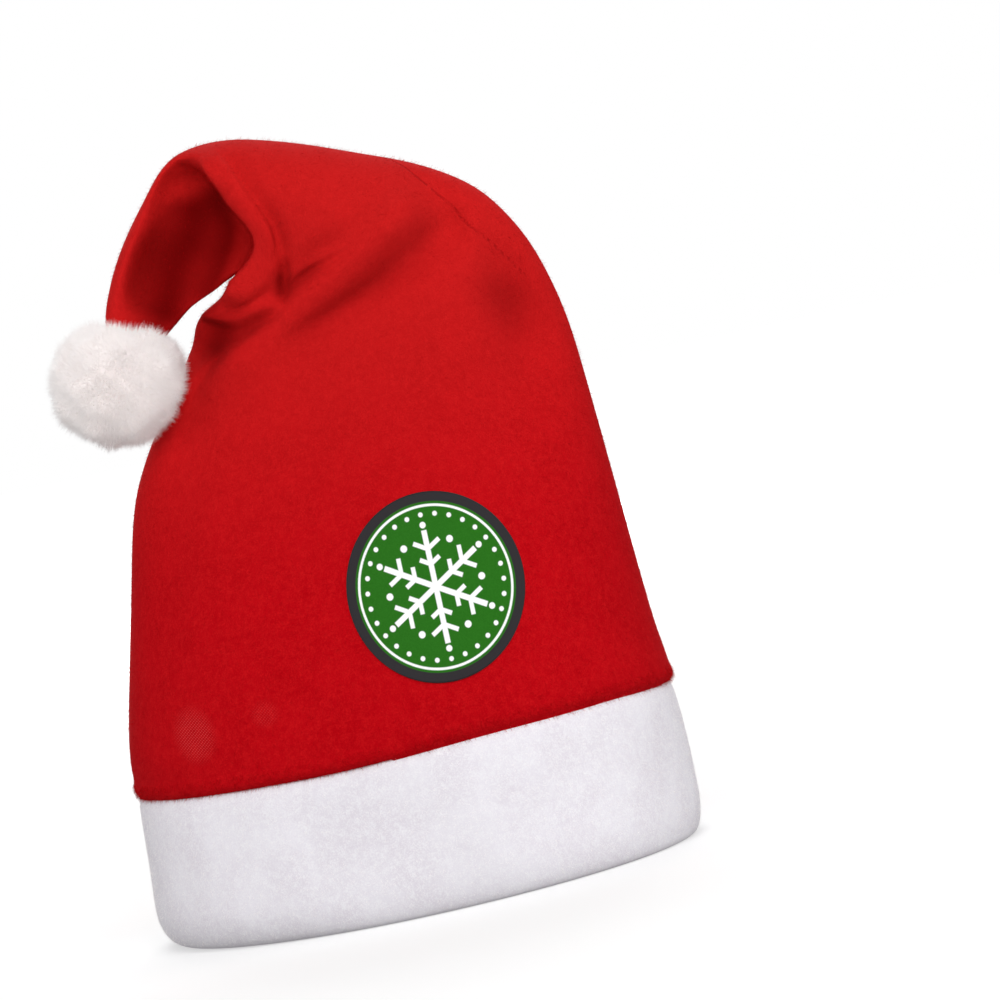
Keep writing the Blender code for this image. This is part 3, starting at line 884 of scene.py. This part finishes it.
green = paint.mix(grain.within(0.3, 0.7), rgb(34, 101, 17), rgb(38, 107, 21))
ink = paint.mix(white_ink, green, rgb(246, 246, 246))
paint.colour(paint.mix(rim, ink, rgb(46, 43, 46)))
paint.bump(grain, 0.10 * MM, 0.25)
finish_piece(film, paint, "badge_print", "front_badge")

# %% [markdown]
# The pompom is a ball of cut yarn. Its core is a copy of the frame's pompom, rebuilt with
# even small faces so that its locks run softly into each other, and drawn in a little to
# leave room for the pile. The pile is tens of thousands of fibres, each a closed spike of
# four triangles. They are joined in one mesh, because so many objects would be slow. Light
# wanders about inside white pile and comes out all over: a faint glow stands in for that.

# %% The core of the pompom
CORE_GRID = 1.3 * MM
CORE_SMOOTHED = 70
CORE_DRAWN_IN = 2.8 * MM
CORE_UP = 1.0 * MM

core = merged_copy("pompom", "pompom_core")
modify(core, "REMESH", mode="VOXEL", voxel_size=CORE_GRID, use_smooth_shade=True)
modify(core, "SMOOTH", factor=0.5, iterations=CORE_SMOOTHED)
points, normals = read(core.data.vertices, "co"), read(core.data.vertices, "normal")
set_points(core, points - normals * CORE_DRAWN_IN + (0, 0, CORE_UP))

pile, pile_colour, pile_height = felt(
    "white_pile", rgb(230, 222, 222), rgb(238, 232, 231), rgb(246, 242, 241), sheen=0.0
)
pile.glow(0.22, rgb(250, 240, 238))
pile.colour(pile_colour)
pile.bump(pile_height, 0.5 * MM, 0.7)
finish_piece(core, pile, "pompom_pile", "pompom")

# %% [markdown]
# Three pieces of the hat are covered with fibres, so they share two helpers. One picks
# places at random, spread evenly over a piece's area. The other turns such places into
# spikes. A particle system could do it too, but its hairs would have to be made a mesh.

# %% Fibres
SEED = 24
FIBRE_ROOT = 0.3 * MM

chance = np.random.default_rng(SEED)


def scatter(piece, count):
    """Random places all over a piece: where, its normal there, and a mesh point close by."""
    mesh = piece.data
    mesh.calc_loop_triangles()
    points, normals = read(mesh.vertices, "co"), read(mesh.vertices, "normal")
    corners = read(mesh.loop_triangles, "vertices").astype(int)
    a, b, c = (points[corners[:, i]] for i in range(3))
    area = np.linalg.norm(np.cross(b - a, c - a), axis=1)
    picked = chance.choice(len(area), count, p=area / area.sum())
    first, second = chance.random((2, count, 1))
    over = first + second > 1
    first, second = np.where(over, 1 - first, first), np.where(over, 1 - second, second)
    third = 1 - first - second
    share = [third, first, second]
    place = sum(s * points[corners[picked, i]] for i, s in enumerate(share))
    normal = sum(s * normals[corners[picked, i]] for i, s in enumerate(share))
    return place, unit(normal), corners[picked, 0]


def fibres(name, roots, ways, lengths, width):
    """One mesh of closed three-sided spikes, four triangles to each."""
    side = unit(np.cross(ways, chance.normal(size=ways.shape)))
    other = np.cross(ways, side)
    foot = roots - ways * FIBRE_ROOT
    rings = [
        foot + (side * math.cos(t) + other * math.sin(t)) * width / 2
        for t in (0, 2 * math.pi / 3, 4 * math.pi / 3)
    ]
    points = np.stack([*rings, roots + ways * lengths[:, None]], axis=1).reshape(-1, 3)
    faces = np.array([(0, 2, 1), (0, 1, 3), (1, 2, 3), (2, 0, 3)])
    faces = (np.arange(len(roots))[:, None, None] * 4 + faces).reshape(-1, 3)
    mesh = bpy.data.meshes.new(name)
    mesh.vertices.add(len(points))
    mesh.loops.add(faces.size)
    mesh.polygons.add(len(faces))
    mesh.vertices.foreach_set("co", points.astype(np.float32).ravel())
    mesh.loops.foreach_set("vertex_index", faces.astype(np.int32).ravel())
    mesh.polygons.foreach_set("loop_start", np.arange(0, faces.size, 3, dtype=np.int32))
    mesh.update(calc_edges=True)
    piece = bpy.data.objects.new(name, mesh)
    bpy.context.scene.collection.objects.link(piece)
    only(piece)
    bpy.ops.object.shade_smooth()
    return piece


# %% [markdown]
# Pile doesn't stand like a brush. Neighbouring fibres lean towards each other into tufts,
# so every fibre is drawn a little towards the middle of its tuft. A ray along each fibre
# shows whether it would run into the red cloth, and it is cut short if it would.

# %% The pile of the pompom
PILE_COUNT = 48000
PILE_LENGTH = (2.6 * MM, 5.4 * MM)
PILE_WIDTH = 0.20 * MM
PILE_LEAST, PILE_CLEAR = 1.2 * MM, 0.2 * MM
TUFTS = 900
LONG_TUFTS = [
    # place in metres, how many times as long
    ((-0.0843, -0.0200, 0.1810), 1.35),
    ((-0.0417, -0.0300, 0.1945), 1.3),
]
LONG_TUFT_REACH = 7 * MM

place, normal, _ = scatter(core, PILE_COUNT)
heart = place.mean(axis=0)
tuft_way = unit(chance.normal(size=(TUFTS, 3)))
own_way = unit(place - heart)
tuft = (own_way @ tuft_way.T).argmax(axis=1)
lean = unit(own_way + normal)
way = unit(lean + tuft_way[tuft] * 0.15 + chance.normal(size=place.shape) * 0.26)
length = chance.uniform(*PILE_LENGTH, len(place)) * chance.uniform(0.85, 1.1, TUFTS)[tuft]
for middle, stretch in LONG_TUFTS:
    near = np.exp(-((np.linalg.norm(place - middle, axis=1) / LONG_TUFT_REACH) ** 2))
    length *= 1 + (stretch - 1) * near
room = np.array([
    crown_surface.ray_cast(Vector(p), Vector(w), l)[3] or l for p, w, l in zip(place, way, length)
])
stands = room > PILE_LEAST
length = np.minimum(length, room - PILE_CLEAR)
pile_fibres = fibres("pompom_pile", place[stands], way[stands], length[stands], PILE_WIDTH)
fibre_white = Tree(
    "white_fibre", 0.9, Sheen_Weight=0.15, Sheen_Roughness=0.8, Specular_IOR_Level=0.1
)
# Painted light: the white fibres glow faintly, here on the pompom and later on the cuff's nap,
# which keeps them bright among their own shadows.
fibre_white.glow(0.19, rgb(255, 250, 248))
tone = fibre_white.noise(fibre_white.place(), 6 * MM, 2.0)
fibre_white.colour(fibre_white.mix(tone.within(0.3, 0.7), rgb(238, 232, 231), rgb(247, 242, 241)))
finish_piece(pile_fibres, fibre_white, "pompom_pile")

# %% [markdown]
# The felt's nap is made in the same way, but short, thin and brushed downhill: it hardly
# shows on the face of the cloth and makes the outline soft. None of it grows on the lining,
# under the film, inside the cuff or inside the pompom.

# %% The nap of the crown
NAP_COUNT = 62000
NAP_LENGTH = (0.7 * MM, 1.9 * MM)
NAP_WIDTH = 0.10 * MM
BARE_IN_CUFF = 1 * MM
BARE_IN_POMPOM = 19 * MM
DOWNHILL = np.array((0.2, 0.0, -1.0))
BRUSHED = 0.6


def nap_ways(normal, stand, wild):
    """Ways for fibres that stand up from the cloth and are brushed downhill along it."""
    flat = unit(DOWNHILL - normal * (normal @ DOWNHILL)[:, None])
    return unit(normal * stand + flat * BRUSHED + chance.normal(size=normal.shape) * wild)


place, normal, point = scatter(crown, NAP_COUNT)
outside = read(crown.data.attributes["outside"].data, "value", 1)
grows = outside[point] > 0.99
oval = sum(((place[:, k] - film_middle[i]) / film_half[i]) ** 2 for i, k in enumerate((0, 2)))
grows &= ~((oval < 1.02) & (place[:, 1] < 0))
grows &= place[:, 2] > cuff_top - BARE_IN_CUFF
grows &= np.linalg.norm(place - heart, axis=1) > BARE_IN_POMPOM
place, normal = place[grows], normal[grows]
way = nap_ways(normal, stand=0.75, wild=0.45)
length = chance.uniform(*NAP_LENGTH, len(place))
crown_nap = fibres("crown_nap", place, way, length, NAP_WIDTH)
red_fibre = Tree("red_fibre", 0.95, Specular_IOR_Level=0.04)
tone = red_fibre.noise(red_fibre.place(), 5 * MM, 3.0)
red_fibre.colour(red_fibre.mix(tone.within(0.3, 0.7), rgb(178, 3, 12), rgb(198, 14, 20)))
finish_piece(crown_nap, red_fibre, "crown_felt")

# %% [markdown]
# Where the red lies on the white, its nap hangs over the edge as a short fringe, and the
# line between the colours is soft. The fibres are scattered all over the crown and only
# those near its lower edge are kept, which climbs with the seam.

# %% The fringe at the lower edge of the crown
FRINGE_COUNT = 260000
FRINGE_LOW, FRINGE_HIGH = -1.5 * MM, 4.5 * MM
FRINGE_LENGTH = (1.0 * MM, 2.4 * MM)
FRINGE_WIDTH = 0.12 * MM
FRINGE_DOWN = np.array((0, 0, -0.75))
LIP_ABOVE_CUFF = 0.8 * MM

place, normal, point = scatter(crown, FRINGE_COUNT)
outward = unit(place * (1, 1, 0))
rise = place[:, 2] - (cuff_top + LIP_ABOVE_CUFF + seam_climb(place))
grows = (outside[point] > 0.5) & (rise > FRINGE_LOW) & (rise < FRINGE_HIGH)
grows &= np.einsum("ij,ij->i", normal, outward) > -0.2
place, outward = place[grows], outward[grows]
way = unit(outward * 0.55 + FRINGE_DOWN + chance.normal(size=place.shape) * 0.3)
length = chance.uniform(*FRINGE_LENGTH, len(place))
fringe = fibres("crown_fringe", place, way, length, FRINGE_WIDTH)
finish_piece(fringe, red_fibre, "crown_felt")

# %% [markdown]
# The white nap is shorter still. It grows on the outside of the band only, and stops just
# over the surface that the hat stands on.

# %% The nap of the cuff
CUFF_NAP_COUNT = 40000
CUFF_NAP_LENGTH = (0.5 * MM, 1.2 * MM)
CUFF_NAP_LOW = 2 * MM

place, normal, _ = scatter(cuff, CUFF_NAP_COUNT)
facing = np.einsum("ij,ij->i", normal[:, :2], unit(place[:, :2]))
grows = (facing > 0.2) & (place[:, 2] > CUFF_NAP_LOW)
place, normal = place[grows], normal[grows]
way = nap_ways(normal, stand=0.6, wild=0.5)
length = chance.uniform(*CUFF_NAP_LENGTH, len(place))
cuff_nap = fibres("cuff_nap", place, way, length, NAP_WIDTH)
finish_piece(cuff_nap, fibre_white, "cuff_felt")

# %% [markdown]
# The studio is a white floor and a white surround. The surround is a dome that only the
# camera sees, so the light can have a side. The floor glows a little, as a lit table does,
# and more so further away, where the lamps don't reach: that hides the horizon, and the
# shadow under the cuff stays a breath of grey. It throws no light back at the hat.

# %% The floor and the surround
STUDIO_RADIUS = 7
FLOOR_NEAR, FLOOR_FAR = 0.25, 2.6
GLOW_NEAR, GLOW_FAR = (0.43, 0.43, 0.43, 1.0), (0.98, 0.98, 0.98, 1.0)

bpy.ops.object.select_all(action="DESELECT")
bpy.ops.mesh.primitive_circle_add(vertices=96, radius=STUDIO_RADIUS, fill_type="NGON")
floor = bpy.context.object
floor.name = "floor"
paper = Tree("paper", 0.9, Specular_IOR_Level=0.0)
paper.colour((0.60, 0.60, 0.60, 1.0))
x, y, _ = paper.split(paper.place())
away = (x * x + y * y).math("SQRT").within(FLOOR_NEAR, FLOOR_FAR)
paper.glow(1.0, paper.mix(away, GLOW_NEAR, GLOW_FAR))
floor.data.materials.append(paper.material)
floor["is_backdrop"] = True

bpy.ops.object.select_all(action="DESELECT")
bpy.ops.mesh.primitive_uv_sphere_add(segments=48, ring_count=24, radius=STUDIO_RADIUS)
surround = bpy.context.object
surround.name = "surround"
white_air = Tree("white_air", 1.0, Specular_IOR_Level=0.0)
white_air.colour((0.0, 0.0, 0.0, 1.0))
white_air.glow(1.0, (1.0, 1.0, 1.0, 1.0))
surround.data.materials.append(white_air.material)
for stage_piece in (floor, surround):
    stage_piece.visible_diffuse = False
    stage_piece.visible_glossy = False
surround.visible_shadow = False
surround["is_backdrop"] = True

# %% [markdown]
# Softboxes stand in a ring. The strongest is wide and low in front, and lights the face of
# the hat evenly. A smaller one hangs high in front and gives the folds their bright tops
# and dark undersides. There are two more behind and one on each side, for whoever walks
# round the hat, and a dim sky fills the rest. The colours are shown as they are, without
# the film-like curve that would turn the red towards orange.

# %% Light
world = bpy.data.worlds.new("studio")
bpy.context.scene.world = world
world.use_nodes = True
sky = world.node_tree.nodes["Background"]
sky.inputs["Color"].default_value = (1, 1, 1, 1)
sky.inputs["Strength"].default_value = 0.30
bpy.context.scene.view_settings.view_transform = "Standard"

LIGHTS_AIM = Vector((0, 0, 0.13))
SOFTBOXES = [
    # name, place in metres, side in metres, watts
    ("front high", (0.05, -1.45, 1.65), 1.1, 13),
    ("front low", (0.25, -2.25, 0.60), 2.6, 36),
    ("back high", (0.05, 1.45, 1.65), 1.1, 13),
    ("back low", (-0.05, 2.30, 0.60), 1.6, 27),
    ("left", (-2.10, -0.20, 0.50), 1.2, 14),
    ("right", (2.10, -0.20, 0.60), 1.2, 16),
]


def softbox(name, place, side, power):
    bpy.ops.object.light_add(type="AREA", location=place)
    light = bpy.context.object
    light.name = name.replace(" ", "_")
    light.data.size = side
    light.data.energy = power
    light.rotation_mode = "QUATERNION"
    light.rotation_quaternion = (Vector(place) - LIGHTS_AIM).to_track_quat("Z", "Y")


for row in SOFTBOXES:
    softbox(*row)
print(len(SOFTBOXES), "softboxes")

# %% [markdown]
# Last of all the dressed hat is measured: the box round every piece that is shown,
# leaving out the floor and the surround.

# %% The size is measured
low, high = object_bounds()
